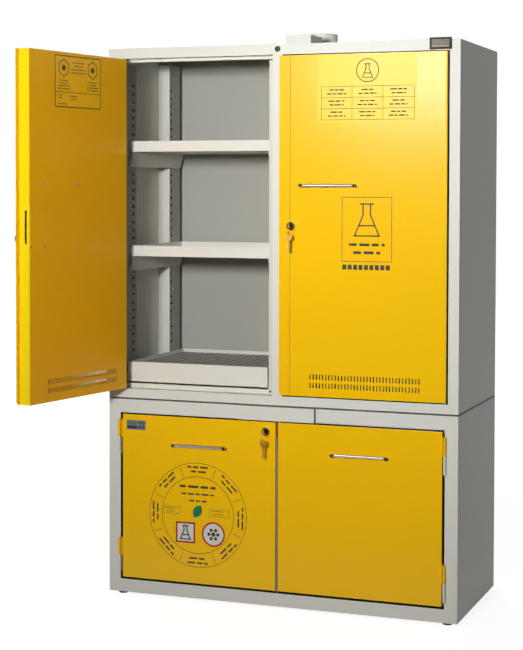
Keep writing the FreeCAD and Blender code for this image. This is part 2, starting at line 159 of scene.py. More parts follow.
finishes = {
    "casing_coat": powderCoat("greyCasingCoat", (0.755, 0.750, 0.690), (0.735, 0.730, 0.668),
                              0.46, 520, 0.00010, 0.3, 0.2),
    "inner_coat": powderCoat("greyInnerCoat", (0.690, 0.680, 0.620), (0.660, 0.650, 0.590)),
    "shelf_coat": powderCoat("paleShelfCoat", (0.780, 0.770, 0.700), (0.755, 0.745, 0.675), 0.44,
                             height=0.00008),
    # the grid's darker grey is partly its own tone and partly painted shade for the dimmer light at the
    # bottom of the bays
    "grid_coat": powderCoat("greyGridCoatPartlyShaded", (0.50, 0.50, 0.47), (0.46, 0.46, 0.43), height=0.00008),
    "door_coat": powderCoat("yellowDoorCoat", (0.985, 0.572, 0.0025), (0.965, 0.552, 0.0015),
                            0.20, 330, 0.00030, 0.22, 0.27, 0.12),
    "bar_steel": brushedMetal("satinBarSteel", (0.49, 0.475, 0.475), (0.43, 0.415, 0.415),
                              0.32, (0.05, 1, 1), wear=0.05),
    "bright_steel": brushedMetal("brightRivetSteel", (0.42, 0.42, 0.46), (0.34, 0.34, 0.38), 0.26, (1, 1, 1)),
    "lock_metal": brushedMetal("platedLockRim", (0.86, 0.84, 0.80), (0.74, 0.72, 0.69), 0.24, (1, 1, 0.2)),
    "lock_dark": brushedMetal("darkLockFace", (0.055, 0.05, 0.05), (0.035, 0.032, 0.032), 0.34, (1, 1, 1)),
    "key_metal": brushedMetal("wornKeyBrass", (0.85, 0.47, 0.12), (0.66, 0.34, 0.08), 0.42, (1, 1, 0.3)),
    "black_rubber": mouldedPlastic("blackBumperRubber", (0.025, 0.025, 0.025), (0.04, 0.04, 0.038), 0.75),
    "foot_metal": mouldedPlastic("blackFootCoat", (0.028, 0.028, 0.028), (0.045, 0.044, 0.042), 0.5),
    "plug_plastic": mouldedPlastic("darkPlugPlastic", (0.010, 0.050, 0.036), (0.016, 0.065, 0.046), 0.45),
    "module_plastic": mouldedPlastic("greyModulePlastic", (0.026, 0.026, 0.023), (0.020, 0.020, 0.018), 0.70),
    # painted shade: the pivot plates in the door gaps are near-black for the shade there
    "pivot_steel": mouldedPlastic("blackPivotPaintedShade", (0.030, 0.030, 0.029), (0.045, 0.044, 0.042), 0.5),
}
slotOf = {part["node"]: part["material_slot"] for part in frame["record"]["subparts"]}
for name, node in cadNodes.items():
    node.data.materials.clear()
    node.data.materials.append(finishes[slotOf[name]])
print("finishes on every node")

# shaping tools

weld = 0.000002  # metres: points that meet are merged
flatArea = 0.002  # square metres: larger faces are shaded flat, so that no corner shades a whole sheet


def toMode(mode):
    bpy.ops.object.mode_set(mode=mode)


def selectAll(action="SELECT"):
    bpy.ops.mesh.select_all(action=action)


def clearSelection():
    if bpy.context.object is not None and bpy.context.object.mode != "OBJECT":
        toMode("OBJECT")
    bpy.ops.object.select_all(action="DESELECT")


def pickOut(piece):
    clearSelection()
    piece.select_set(True)
    bpy.context.view_layer.objects.active = piece


def bakePlace():
    bpy.ops.object.transform_apply(location=True, rotation=True, scale=True)
    return bpy.context.active_object


def startEdit(kind="FACE"):
    toMode("EDIT")
    bpy.ops.mesh.select_mode(type=kind)
    selectAll()


def closeShell(merge=True):
    # the edited shell's faces are turned outwards
    selectAll()
    if merge:
        bpy.ops.mesh.remove_doubles(threshold=weld)
    bpy.ops.mesh.normals_make_consistent(inside=False)
    toMode("OBJECT")


def drawOut(x, y, z):
    bpy.ops.mesh.extrude_region_move(TRANSFORM_OT_translate={"value": (x / 1000, y / 1000, z / 1000)})


def applied(piece, kind, **settings):
    pickOut(piece)
    modifier = piece.modifiers.new(kind.lower(), kind)
    for key, value in settings.items():
        setattr(modifier, key, value)
    bpy.ops.object.modifier_apply(modifier=modifier.name)
    return piece


def rounded(piece, width, segments=2, angle=30):
    return applied(piece, "BEVEL", width=width / 1000, segments=segments,
                   limit_method="ANGLE", angle_limit=math.radians(angle))


def cutAway(piece, tool):
    applied(piece, "BOOLEAN", operation="DIFFERENCE", object=tool, solver="EXACT")
    bpy.data.objects.remove(tool)


def squareBlock(low, high):
    clearSelection()
    first, last = spot(*low), spot(*high)
    bpy.ops.mesh.primitive_cube_add(size=1, location=(first + last) / 2, scale=last - first)
    return bakePlace()


def plate(low, high, rounding=0.4):
    # a flat or square-cut piece with softened edges
    return rounded(squareBlock(low, high), rounding)


facings = {"up": (0, 0, 0), "front": (math.pi / 2, 0, 0), "back": (-math.pi / 2, 0, 0)}


def standingDisc(radius, place, steps):
    clearSelection()
    bpy.ops.mesh.primitive_circle_add(vertices=steps, radius=radius / 1000, fill_type="NGON",
                                      location=spot(*place), rotation=facings["front"])
    return bakePlace()


def turned(outline, centre, facing="up", steps=28):
    # outline is a run of (radius, height) points, spun about the axis that leaves centre towards facing
    clearSelection()
    bpy.ops.mesh.primitive_plane_add(size=0.001)
    piece = bpy.context.active_object
    startEdit("VERT")
    bpy.ops.mesh.merge(type="CENTER")
    bpy.ops.transform.translate(value=(outline[0][0] / 1000, 0, outline[0][1] / 1000))
    for before, after in zip(outline, outline[1:]):
        step = ((after[0] - before[0]) / 1000, 0, (after[1] - before[1]) / 1000)
        bpy.ops.mesh.extrude_vertices_move(TRANSFORM_OT_translate={"value": step})
    selectAll()
    bpy.ops.mesh.spin(steps=steps, angle=2 * math.pi, center=(0, 0, 0), axis=(0, 0, 1))
    closeShell()
    piece.rotation_euler = facings[facing]
    piece.location = spot(*centre)
    return bakePlace()


def joined(pieces):
    clearSelection()
    for piece in pieces:
        piece.select_set(True)
    bpy.context.view_layer.objects.active = pieces[0]
    if len(pieces) > 1:
        bpy.ops.object.join()
    return pieces[0]


def shown(name, data):
    thing = bpy.data.objects.new(name, data)
    bpy.context.scene.collection.objects.link(thing)
    return thing


def copied(piece, shift=(0, 0, 0)):
    twin = shown("copy", piece.data.copy())
    twin.data.transform(Matrix.Translation(Vector(shift) / 1000))
    return twin


def mirrorImage(piece):
    twin = copied(piece)
    twin.data.transform(Matrix.Diagonal((-1, 1, 1, 1)))
    twin.data.flip_normals()
    return twin


def swungOpen(piece):
    pivot = Matrix.Translation(spot(*upperDoor["pivot"], 0))
    swing = Matrix.Rotation(math.radians(-upperDoor["openAngle"]), 4, "Z")
    piece.data.transform(pivot @ swing @ pivot.inverted())
    return piece


def fit(piece, name, body, slot, replaces=(), smooth=35, finish=None):
    # names, finishes and shades a piece, taking the finish of its slot when none is given; hangs it on the
    # body it rides on and hides the nodes it stands for
    piece.name = piece.data.name = name
    if not piece.data.materials:
        piece.data.materials.append(finish or finishes[slot])
    pickOut(piece)
    bpy.ops.object.shade_smooth_by_angle(angle=math.radians(smooth))
    for face in piece.data.polygons:
        if face.area > flatArea:
            face.use_smooth = False
    if replaces:
        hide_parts(*replaces)
    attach(piece, body)


def fitUpperPair(piece, part, slot, node=None, body="door", smooth=35, finish=None):
    # made on the closed left door: the right one is its mirror image, the left one is then swung open
    right = mirrorImage(piece)
    for twin, place, side in ((swungOpen(piece), "_upper_left", "ul_"), (right, "_upper_right", "ur_")):
        fit(twin, part + place, side + body, slot, [side + node] if node else [], smooth, finish)


# handles

handle = {"length": 182.0, "barRadius": 5.0, "bend": 10.0,
          "upper": (404.6, -30.5, 1299.0), "left": (313.7, -28.0, 481.0), "right": (837.2, -28.0, 481.0)}


def bowHandle(place, front):
    x, y, z = place
    radius, bend = handle["barRadius"], handle["bend"]
    left = x - handle["length"] / 2 + radius
    span = handle["length"] - 2 * radius - 2 * bend
    leg = front - y - bend
    quarter = {"steps": 8, "angle": math.pi / 2, "axis": (0, 0, 1)}
    piece = standingDisc(radius, (left, front, z), 20)
    startEdit()
    drawOut(0, -leg, 0)
    bpy.ops.mesh.spin(center=spot(left + bend, front - leg, z), **quarter)
    drawOut(span, 0, 0)
    bpy.ops.mesh.spin(center=spot(left + bend + span, front - leg, z), **quarter)
    drawOut(0, leg, 0)
    closeShell()
    return piece


fitUpperPair(bowHandle(handle["upper"], upperDoor["front"]), "handle", "bar_steel", "handle")
for side, door in (("left", "ll"), ("right", "lr")):
    fit(bowHandle(handle[side], 0.0), "handle_lower_" + side, door + "_door", "bar_steel", [door + "_handle"])
print("handles made")

# locks and keys

lock = {"rim": 13.5, "barrel": 9.0, "plug": 6.5, "rimDepth": 12.0, "camWidth": 16.0, "camThick": 2.5,
        "nut": 13.0, "nutFront": 5.5, "slotHalf": 1.3, "slotReach": 4.2}


def lockHousing(x, z, front, rear):
    rim, barrel, nut, depth = lock["rim"], lock["barrel"], lock["nut"], lock["rimDepth"]
    bore, length = lock["plug"] + 0.1, front - rear
    outline = [(bore, depth - 1.2), (bore + 0.6, depth - 0.6), (rim - 3.2, depth - 0.6), (rim - 2.8, depth),
               (rim - 1.6, depth - 0.4), (rim - 0.5, depth - 1.5), (rim, depth - 3.2), (rim, 1.6),
               (rim - 0.5, 1.0), (rim - 0.5, 0.0), (barrel, 0.0), (barrel, length + 0.6),
               (barrel - 0.6, length), (bore, length), (bore, depth - 1.2)]
    body = turned(outline, (x, front, z), "front", 40)
    inner = barrel - 0.2
    outline = [(inner, 0), (nut, 0), (nut, 3.2), (nut - 1.2, 4.0), (inner, 4.0), (inner, 0)]
    hexNut = turned(outline, (x, front + lock["nutFront"], z), "front", 6)
    housing = joined([body, hexNut])
    for finish in ("lock_metal", "lock_dark"):
        housing.data.materials.append(finishes[finish])
    behindRim = spot(0, front, 0).y - 0.008
    for face in housing.data.polygons:
        face.material_index = int(face.normal.y < -0.5 and face.center.y < behindRim)
    return housing


def lockPlug(x, z, front, rear, reach):
    radius, length = lock["plug"], front - rear - 0.5
    outline = [(0, 11.0), (radius - 0.9, 11.0), (radius - 0.9, 10.2), (radius - 0.3, 10.2), (radius, 9.8),
               (radius, length), (0, length)]
    face = turned(outline, (x, front, z), "front", 32)
    wide, tall = lock["slotHalf"], lock["slotReach"]
    cutAway(face, plate((x - wide, front - 13, z - tall), (x + wide, front + 5, z + tall), 0.2))
    half, camFront = lock["camWidth"] / 2, rear + 0.5
    camBack = camFront + lock["camThick"]
    cam = plate((x - half, camFront, z - reach), (x + half, camBack, z + 9), 0.6)
    outline = [(0, 2.2), (2.6, 2.2), (3.8, 1.4), (4.2, 0.4), (4.2, -0.3), (0, -0.3)]
    screw = turned(outline, (x, camBack, z), "back", 6)
    return joined([face, cam, screw])


keys = {"bow": 11.0, "eye": 4.0, "eyeOffset": 5.5, "thick": 2.0, "blade": 48.0, "bladeHalf": 3.6,
        "ring": 12.0, "coil": 0.44, "coilShift": 0.34, "sag": 2.1, "shortBlade": 14.0,
        "front": -13.5, "bowFront": -9.0, "notches": (0.0, 0.0016, 0.0007, 0.0019, 0.0011),
        "notched": (0.12, 0.72), "tip": (0.97, 0.0026, 0.0008)}


def keyShape(length):
    # bow centred on the origin, blade along -Z, flat in the XZ plane, then placed by the caller
    half, bow, eye = keys["thick"] / 2000, keys["bow"] / 1000, keys["eye"] / 1000
    clearSelection()
    bpy.ops.mesh.primitive_cylinder_add(vertices=28, radius=bow, depth=2 * half, rotation=facings["front"])
    head = bakePlace()
    bpy.ops.mesh.primitive_cylinder_add(vertices=20, radius=eye, depth=6 * half,
                                        location=(0, 0, keys["eyeOffset"] / 1000), rotation=facings["front"])
    cutAway(head, bpy.context.active_object)
    # the blade: a strip with its lower edge notched, given its thickness
    top, low = -bow + 0.0015, -bow - length / 1000 + 0.002
    bpy.ops.mesh.primitive_grid_add(x_subdivisions=2, y_subdivisions=17, size=1)
    blade = bpy.context.active_object
    width = keys["bladeHalf"] / 1000
    for vertex in blade.data.vertices:
        across, along = vertex.co.x * 2, vertex.co.y + 0.5
        notch, (first, last), (tip, deep, back) = 0.0, keys["notched"], keys["tip"]
        if across > 0.5 and first < along < last:
            notch = keys["notches"][round(along * 17) % 5]
        if along > tip:
            notch = deep if across > 0.5 else -back if across < -0.5 else 0.0
        vertex.co = (across * width - notch, 0, top + (low - top) * along)
    applied(blade, "SOLIDIFY", thickness=2 * half, offset=0)
    return rounded(joined([head, blade]), 0.25, 1, 40)


def standKey(place, angle, length):
    # angle is a quarter turn for a key in its lock and 0 for one that hangs
    key = keyShape(length)
    pickOut(key)
    for axis in (2, 0):
        key.rotation_euler[axis] = angle
        bakePlace()
    key.location = spot(*place)
    return bakePlace()


def splitRing(x, y, z):
    coils = []
    for shift in (-keys["coilShift"], keys["coilShift"]):
        clearSelection()
        bpy.ops.mesh.primitive_torus_add(major_radius=keys["ring"] / 1000, minor_radius=keys["coil"] / 1000,
                                         major_segments=40, minor_segments=8, location=(0, 0, shift / 1000))
        coils.append(bakePlace())
    ring = joined(coils)
    ring.rotation_euler = (math.pi / 2, 0, math.radians(45))
    ring.location = spot(x, y, z)
    return bakePlace()


def keysFor(x, y, z):
    # the first key stands in the plug with its bow upright; ring and second key hang from its eye
    bowY = y + keys["bowFront"]
    first = standKey((x, bowY, z), math.pi / 2, keys["shortBlade"])
    eyeY = bowY - keys["eyeOffset"]
    ringZ = z - keys["sag"] - keys["ring"]
    bowZ = ringZ - keys["ring"] - keys["sag"] - keys["eyeOffset"]
    second = standKey((x, eyeY, bowZ), 0, keys["blade"] - keys["bow"])
    return first, joined([second, splitRing(x, eyeY, ringZ)])


lockSets = {"upper": (523.0, 1175.0, upperDoor["front"], 18.0, 45.0),
            "lower": (536.0, 541.0, 0.0, 27.5, 46.0)}
lockParts = (("lock", "lock_metal", "lock", "door"), ("lock_plug", "lock_dark", "plug", "turn"),
             ("key_in_lock", "key_metal", "key", "turn"), ("key_hanging", "key_metal", "spare_key", "hang"))
for place, (x, z, front, rear, reach) in lockSets.items():
    pieces = (lockHousing(x, z, front, rear), lockPlug(x, z, front, rear + 1.0, reach),
              *keysFor(x, front + keys["front"], z))
    for piece, (part, slot, node, body) in zip(pieces, lockParts):
        if place == "upper":
            fitUpperPair(piece, part, slot, node, body)
        else:
            fit(piece, part + "_lower_left", "ll_" + body, slot, ["ll_" + node])
print("locks and keys made")

# door fixings, latch covers and edge trims

inside = {"coverX": (475.0, 546.5), "coverZ": (1113.0, 1237.0), "coverThick": 1.2, "margin": 5.0,
          "rivet": 3.0, "rivetHeight": 1.6, "screw": 4.5, "screwHeight": 2.4, "screwX": (318.6, 490.6)}


def crossScrew(x, y, z, radius, height):
    # a domed head that faces the back, with a cross recess
    outline = [(0, height), (radius * 0.45, height * 0.94), (radius * 0.8, height * 0.68),
               (radius, height * 0.2), (radius, -0.3), (0, -0.3)]
    head = turned(outline, (x, y, z), "back", 20)
    span, slim = radius * 0.62, radius * 0.13
    low, high = y + height * 0.45, y + height * 2
    for halfX, halfZ in ((span, slim), (slim, span)):
        cutAway(head, plate((x - halfX, low, z - halfZ), (x + halfX, high, z + halfZ), 0.05))
    return head


def rivetHead(x, y, z, radius, height):
    outline = [(0, height * 0.35), (radius * 0.28, height * 0.35), (radius * 0.34, height),
               (radius * 0.6, height * 0.9), (radius, height * 0.25), (radius, -0.2), (0, -0.2)]
    return turned(outline, (x, y, z), "back", 20)


# painted shade: the pans, the door's inner face, and the latch cover take a darker copy of the door yellow
# for the shade they stand in
shadedPanCoat = powderCoat("yellowPanPaintedShade", (0.965, 0.490, 0.0020), (0.945, 0.475, 0.0012),
                     0.34, 330, 0.00042, 0.22, 0.22, 0.18)
panBack, coverBack = upperDoor["back"], upperDoor["back"] + inside["coverThick"]
(left, right), (low, high), margin = inside["coverX"], inside["coverZ"], inside["margin"]
cover = plate((left, panBack, low), (right, coverBack, high), 0.5)
# painted shade: the latch cover takes the pans' darker yellow
fitUpperPair(cover, "latch_cover", "door_coat", "cover", smooth=20, finish=shadedPanCoat)
heads = [rivetHead(x, coverBack, z, inside["rivet"], inside["rivetHeight"])
         for x in (left + margin, right - margin) for z in (low + margin, high - margin)]
heads += [crossScrew(x, panBack, handle["upper"][2], inside["screw"], inside["screwHeight"])
          for x in inside["screwX"]]
fitUpperPair(joined(heads), "door_fixings", "bright_steel", "fixings")

# a flat strip on the front of the door's free edge, and beside it a thin near-black strip, painted shadow
# along the strip's edge
trim = {"from": 528.5, "stand": 0.5, "shadowLine": 1.0, "low": 665.3, "high": 1694.7}
front, start = upperDoor["front"], trim["from"]
strip = plate((start, front - trim["stand"], trim["low"]),
              (upperDoor["free"] + 0.2, front + 0.2, trim["high"]), 0.15)
fitUpperPair(strip, "edge_trim", "door_coat", smooth=20)
# painted shadow: a near-black strip beside the trim's edge
shadowLine = plate((start - trim["shadowLine"], front - 0.1, trim["low"]), (start, front + 0.1, trim["high"]), 0.02)
fitUpperPair(shadowLine, "edge_seam", "black_rubber", smooth=20)
print("door fittings made")

# hinges of the lower doors

hinge = {"x": 39.0, "y": -7.0, "radius": 4.2, "pin": 2.2, "half": 56.0, "splits": (499.0, 119.0),
         "leafBack": 18.0, "frameLeaf": (40.0, 42.0), "doorLeaf": 3.2}


def hingeFrameHalf(split):
    radius, half, pin, bore = hinge["radius"], hinge["half"], hinge["pin"], hinge["pin"] + 0.1
    axle = (hinge["x"], hinge["y"], split)
    outline = [(0, -half), (radius - 0.7, -half), (radius, 0.7 - half), (radius, -0.7), (radius - 0.5, 0),
               (pin, 0), (pin, half - 5), (pin - 1, half - 4), (0, half - 4)]
    knuckle = turned(outline, axle)
    near, far = hinge["frameLeaf"]
    leaf = plate((near, hinge["y"], split - half), (far, hinge["leafBack"], split), 0.4)
    outline = [(bore, -0.1), (radius, -0.1), (radius, 0.4), (bore, 0.4), (bore, -0.1)]
    return joined([knuckle, leaf, turned(outline, axle)])


def hingeDoorHalf(split):
    radius, half, bore = hinge["radius"], hinge["half"], hinge["pin"] + 0.1
    outline = [(bore, 0.5), (radius - 0.5, 0.5), (radius, 1.1), (radius, half - 1.4), (radius - 1.4, half),
               (0, half), (0, half - 3.2), (bore, half - 3.2), (bore, 0.5)]
    knuckle = turned(outline, (hinge["x"], hinge["y"], split))
    near, far = lowerDoor["left"] - hinge["doorLeaf"], lowerDoor["left"]
    leaf = plate((near, hinge["y"], split + 0.5), (far, hinge["leafBack"], split + half), 0.4)
    return [knuckle, leaf]


frameHalves = joined([hingeFrameHalf(split) for split in hinge["splits"]])
frameHalves = joined([frameHalves, mirrorImage(frameHalves)])
fit(frameHalves, "hinge_halves_frame", "cabinet", "casing_coat", ["hinge_frame_halves"])
leftHalves = joined([half for split in hinge["splits"] for half in hingeDoorHalf(split)])
for halves, place, door in ((mirrorImage(leftHalves), "right", "lr"), (leftHalves, "left", "ll")):
    fit(halves, "hinge_halves_door_" + place, door + "_door", "door_coat", [door + "_hinge_halves"])
print("hinges made")

# feet, collar, plug, bumpers and status module

foot = {"x": 36.5, "y": (30.0, 470.0), "radius": 15.0, "height": 10.0,
        "stem": 5.0, "stemTop": 36.0, "pitch": 1.6}


def levellingFoot(x, y):
    radius, base, stem, top = foot["radius"], -foot["height"], foot["stem"], foot["stemTop"]
    outline = [(0, base), (radius - 1.2, base), (radius, base + 1.2), (radius, base + 4.5),
               (radius - 1.0, base + 5.5), (radius - 4.5, base + 6.4),
               (stem + 2.6, base + 6.8), (stem + 2.6, -1.0)]
    # the thread, as rings up the stem
    for n in range(int((top + 1.0) / foot["pitch"])):
        z = -1.0 + n * foot["pitch"]
        outline += [(stem - 0.55, z + 0.1), (stem, z + 0.8)]
    outline += [(stem - 0.6, top - 0.3), (0, top - 0.3)]
    return turned(outline, (x, y, 0), "up", 24)


firstFoot = levellingFoot(foot["x"], foot["y"][0])
acrossWidth, toBack = cabinet["width"] - 2 * foot["x"], foot["y"][1] - foot["y"][0]
shifts = [(acrossWidth, 0, 0), (0, toBack, 0), (acrossWidth, toBack, 0)]
allFeet = joined([firstFoot] + [copied(firstFoot, shift) for shift in shifts])
fit(allFeet, "levelling_feet_set", "levelling_feet", "foot_metal", ["feet"])

collar = {"centre": (570.0, 432.0), "outer": 50.0, "bore": 48.5, "flange": 59.0, "top": 1796.0, "screws": 4}
base, top = cabinet["top"], collar["top"]
outer, bore, flange = collar["outer"], collar["bore"], collar["flange"]
outline = [(bore, base), (flange - 0.4, base), (flange, base + 0.4), (flange, base + 1.6),
           (flange - 0.4, base + 2), (outer + 2.0, base + 2), (outer + 0.6, base + 2.5), (outer, base + 4),
           (outer, base + 24), (outer - 0.7, base + 25.5), (outer - 0.7, base + 28), (outer, base + 29.5),
           (outer, top - 0.6), (outer - 0.5, top), (bore + 0.3, top), (bore, top - 0.4), (bore, base)]
tube = turned(outline, (*collar["centre"], 0), "up", 72)
fit(tube, "exhaust_tube", "cabinet", "casing_coat", ["exhaust_collar"], 25)
screws = []
outline = [(0, 1.2), (1.4, 1.8), (2.6, 1.6), (3.2, 0.6), (3.2, -0.2), (0, -0.2)]
for n in range(collar["screws"]):
    angle = math.radians(45 + 90 * n)
    reach = (outer + flange) / 2 + 1
    x, y = collar["centre"][0] + reach * math.cos(angle), collar["centre"][1] + reach * math.sin(angle)
    screws.append(turned(outline, (x, y, base + 2), "up", 14))
fit(joined(screws), "collar_screws", "cabinet", "bright_steel")

plug = {"place": (570.0, 0, 1715.5), "head": 9.0, "socket": 4.5, "stem": 5.9}
head, socket, stem = plug["head"], plug["socket"], plug["stem"]
outline = [(0, 2.0), (socket - 0.4, 2.0), (socket, 2.4), (socket, 3.6), (socket + 0.5, 4.0),
           (head - 2.2, 3.7), (head - 0.7, 2.6), (head, 1.0), (head, 0),
           (stem, 0), (stem, -7.2), (stem - 0.8, -8), (0, -8)]
fit(turned(outline, plug["place"], "front", 32), "top_plug_cap", "cabinet", "plug_plastic", ["top_plug"])

bumper = {"x": (534.0, 606.0), "z": 660.0, "seat": 38.0, "radius": 4.0}
radius = bumper["radius"]
outline = [(0, 2.0), (radius * 0.5, 1.8), (radius * 0.86, 1.2), (radius, 0.3), (radius, 0), (0, 0)]
domes = [turned(outline, (x, bumper["seat"], bumper["z"]), "front", 20) for x in bumper["x"]]
fit(joined(domes), "door_bumper_domes", "cabinet", "black_rubber", ["door_bumpers"])

module = {"x": (1049.0, 1114.0), "z": (1700.5, 1735.0), "front": -11.0, "rim": 5.0, "sink": 1.5,
          "faceGap": 0.4, "faceFront": -10.0, "faceThick": 0.6}
paleModule = mouldedPlastic("paleModuleFace", (0.155, 0.150, 0.122), (0.130, 0.126, 0.102), 0.65)
(left, right), (low, high), inset = module["x"], module["z"], module["rim"] + module["faceGap"]
case = squareBlock((left, module["front"], low), (right, 0, high))
startEdit()
selectAll("DESELECT")
toMode("OBJECT")
for face in case.data.polygons:
    face.select = face.normal.y < -0.9
toMode("EDIT")
bpy.ops.mesh.inset(thickness=module["rim"] / 1000)
drawOut(0, module["sink"], 0)
toMode("OBJECT")
fit(rounded(case, 0.7), "status_module_case", "cabinet", "module_plastic", ["status_module"])
face = plate((left + inset, module["faceFront"], low + inset),
             (right - inset, module["faceFront"] + module["faceThick"], high - inset), 0.2)
fit(face, "status_module_face", "cabinet", "module_plastic", finish=paleModule)
print("feet, collar, plug and module made")

# plain printed marks and films

ink = mouldedPlastic("brownBlackInk", (0.035, 0.025, 0.010), (0.05, 0.035, 0.012), 0.55)
film = powderCoat("yellowLabelFilm", (0.955, 0.640, 0.030), (0.935, 0.615, 0.022), 0.34, 700, 0.00002, 0.08)
marks = {"film": 0.12, "ink": 0.10}  # thicknesses


def flatFace(x, z, sizeX, sizeZ, y, turn=0.0):
    clearSelection()
    bpy.ops.mesh.primitive_plane_add(size=1, location=spot(x, y, z), rotation=(math.pi / 2, -turn, 0))
    bpy.context.active_object.scale = (sizeX / 1000, sizeZ / 1000, 1)
    return bakePlace()


def line(a, b, width, y):
    (ax, az), (bx, bz) = a, b
    length = math.hypot(bx - ax, bz - az) + width
    return flatFace((ax + bx) / 2, (az + bz) / 2, length, width, y, math.atan2(bz - az, bx - ax))


def lineRun(points, width, y, closed=True):
    ends = zip(points, points[1:] + points[:1] if closed else points[1:])
    return [line(a, b, width, y) for a, b in ends]


def frameLines(left, low, right, high, width, y):
    return lineRun([(left, low), (right, low), (right, high), (left, high)], width, y)


def block(left, low, right, high, y):
    return flatFace((left + right) / 2, (low + high) / 2, right - left, high - low, y)


def roundFace(x, z, radius, y, inner=0.0, steps=48):
    piece = standingDisc(radius, (x, y, z), steps)
    if inner:
        startEdit()
        bpy.ops.mesh.inset(thickness=(radius - inner) / 1000)
        bpy.ops.mesh.delete(type="FACE")
        toMode("OBJECT")
    return piece


def flask(x, z, size, width, y):
    # a plain conical flask in outline, size is its height
    half, neck, top, shoulder, level = 0.40 * size, 0.12 * size, 0.5 * size, 0.16 * size, 0.25 * size
    outline = [(x - neck, z + top), (x - neck, z + shoulder), (x - half, z - top), (x + half, z - top),
               (x + neck, z + shoulder), (x + neck, z + top)]
    run = lineRun(outline, width, y, closed=False)
    for reach, height in ((1.7 * neck, z + top), (level, z - 0.18 * size)):
        run.append(line((x - reach, height), (x + reach, height), width, y))
    return run


dashes = {"lengths": (2.4, 1.7, 3.0, 2.1, 1.5, 2.7, 1.9), "gap": 0.62, "height": 0.62, "shortest": 0.4}


def printRow(x, z, width, tall, y, turn=0.0):
    # a row of plain dashes centred on x, z
    run, at, n = [], -width / 2, int(width + tall)
    while at < width / 2 - dashes["shortest"] * tall:
        size = min(tall * dashes["lengths"][n % len(dashes["lengths"])], width / 2 - at)
        along = at + size / 2
        place = x + along * math.cos(turn), z + along * math.sin(turn)
        run.append(flatFace(*place, size, dashes["height"] * tall, y, turn))
        at += size + dashes["gap"] * tall
        n += 1
    return run


def printGroup(x, z, widths, tall, pitch, y):
    # rows under each other, the first one's top at z
    first = z - tall / 2
    return [face for n, width in enumerate(widths) for face in printRow(x, first - n * pitch, width, tall, y)]


def layer(name, body, faces, finish, slot="door_coat", kind="ink", inner=False):
    # one thin layer of film or ink, on a front or on the inner face of the open door
    thickness = marks[kind]
    piece = joined(faces)
    startEdit()
    drawOut(0, thickness if inner else -thickness, 0)
    closeShell(merge=False)
    if inner:
        swungOpen(piece)
    fit(piece, name, body, slot, finish=finish)


def inkLayer(name, body, faces, inner=False):
    layer(name, body, faces, ink, "black_rubber", inner=inner)


# the right upper door: a film with a ruled card under a ring, and an outlined panel lower down
front = upperDoor["front"]
overFilm = front - marks["film"]
layer("upper_right_film", "ur_door", [block(701, 1487, 1010, 1691, front)], film, kind="film")
faces = [roundFace(857, 1644, 36, overFilm, 33.2)] + flask(857, 1643, 40, 2.6, overFilm)
card = {"frame": (712.0, 1497.0, 1002.0, 1597.0), "line": 1.3, "cells": 3,
        "rows": ((38, 56), (52, 44), (46, 60))}
(left, low, right, high), rule = card["frame"], card["line"]
faces += frameLines(left, low, right, high, rule, overFilm)
cellWide, cellTall = (right - left) / card["cells"], (high - low) / card["cells"]
for n in range(1, card["cells"]):
    x, z = left + n * cellWide, low + n * cellTall
    faces += [line((x, low), (x, high), rule, overFilm), line((left, z), (right, z), rule, overFilm)]
for column in range(card["cells"]):
    for row in range(card["cells"]):
        x, z = left + (column + 0.5) * cellWide, low + (row + 1) * cellTall - 7
        faces += printGroup(x, z, card["rows"][(column + row) % 3], 6.5, 11.5, overFilm)
inkLayer("upper_right_card", "ur_door", faces)

panel = {"frame": (779.0, 1071.0, 934.0, 1264.0), "middle": 856.5, "line": 1.8, "blocks": 9, "pitch": 17}
faces = frameLines(*panel["frame"], panel["line"], front)
middle = panel["middle"]
faces += flask(middle, 1196, 96, 4.2, front) + printGroup(middle, 1128, (112, 84), 13, 24, front)
for n in range(panel["blocks"]):
    x = panel["frame"][0] + 1 + panel["pitch"] * n
    faces.append(block(x, 1046, x + 13, 1061, front))
inkLayer("upper_right_panel", "ur_door", faces)

# the left upper door's inner face: one framed card with two outlined hexagons
back = upperDoor["back"]
overFilm = back + marks["film"]
# painted shade: a darker copy of the label film, for the shade on the open door's inner face
shadedInnerFilm = powderCoat("yellowLabelFilmPaintedShade", (0.975, 0.530, 0.0060), (0.955, 0.515, 0.0045),
                       0.34, 700, 0.00002, 0.08)
faces = [block(197, 1530, 427, 1686, back)]
layer("inner_card_film", "ul_door", faces, shadedInnerFilm, kind="film", inner=True)
innerCard = {"hexagons": (384, 240), "reach": 26, "level": 1648, "dot": 9,
             "notes": ((402, 1569, (22, 18)), (340, 1567, (40, 30)), (390, 1543, (44,)))}
faces = frameLines(199, 1532, 425, 1684, 3.2, overFilm) + [line((198.5, 1576), (425.5, 1576), 1.8, overFilm)]
for x in innerCard["hexagons"]:
    reach, level = innerCard["reach"], innerCard["level"]
    turns = [math.radians(60 * n) for n in range(6)]
    hexagon = [(x + reach * math.sin(turn), level + reach * math.cos(turn)) for turn in turns]
    faces += lineRun(hexagon, 3.0, overFilm) + [roundFace(x, level, innerCard["dot"], overFilm, steps=24)]
    faces += printGroup(x, 1613, (44, 34, 58, 62), 4.6, 8.2, overFilm)
faces += printGroup(312, 1668, (58, 40, 66, 74), 5, 10, overFilm)
for x, z, widths in innerCard["notes"]:
    faces += printGroup(x, z, widths, 4.6, 8.5, overFilm)
inkLayer("inner_card_print", "ul_door", faces, inner=True)

